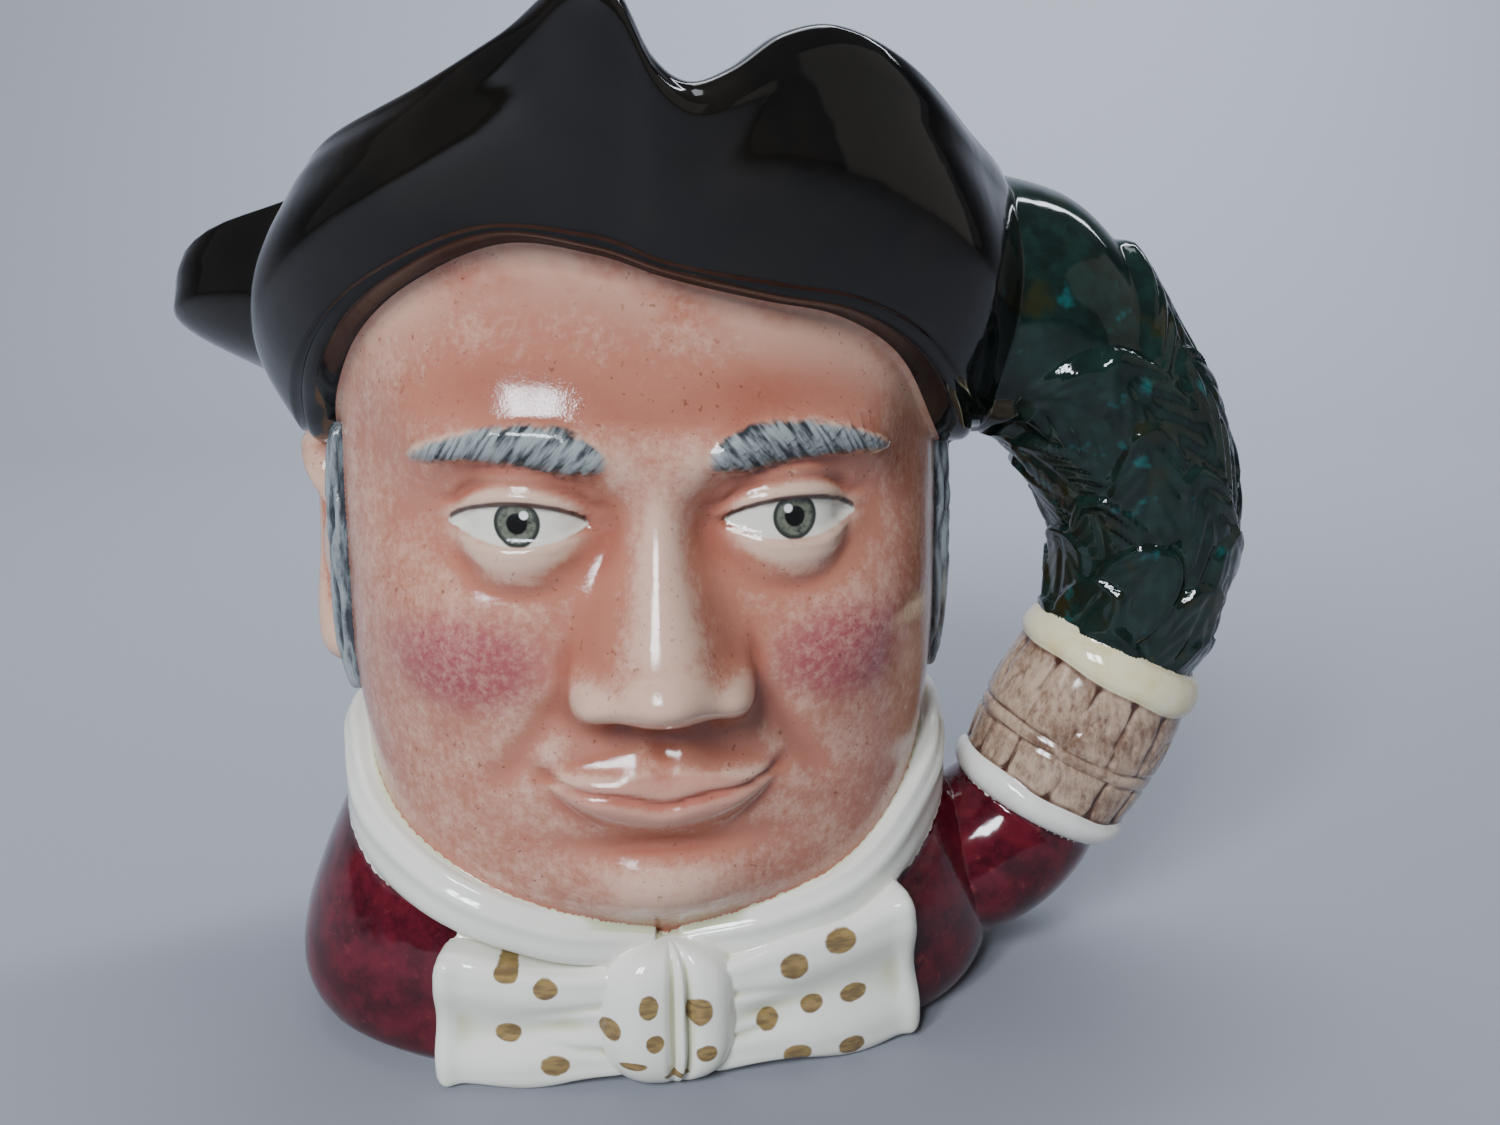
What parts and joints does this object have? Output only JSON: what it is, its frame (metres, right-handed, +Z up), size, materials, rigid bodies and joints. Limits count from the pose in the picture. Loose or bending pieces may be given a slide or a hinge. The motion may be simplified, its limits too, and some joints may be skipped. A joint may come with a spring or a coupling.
{
  "type": "toby jug",
  "caption": "Character jug shaped as a man's head in a tricorn hat, with coat, collar and spotted bow tie, and a handle of foliage over a small barrel.",
  "frame": {"origin": "middle of the flat foot, on the surface that the jug stands on", "axes": "+Z up, the face looks along -Y, the handle is on +X"},
  "size_m": [0.2053, 0.1319, 0.178],
  "materials": {
    "glaze": "glossy painted glaze"
  },
  "bodies": {
    "root": {"jug": "glaze"}
  },
  "joints": []
}
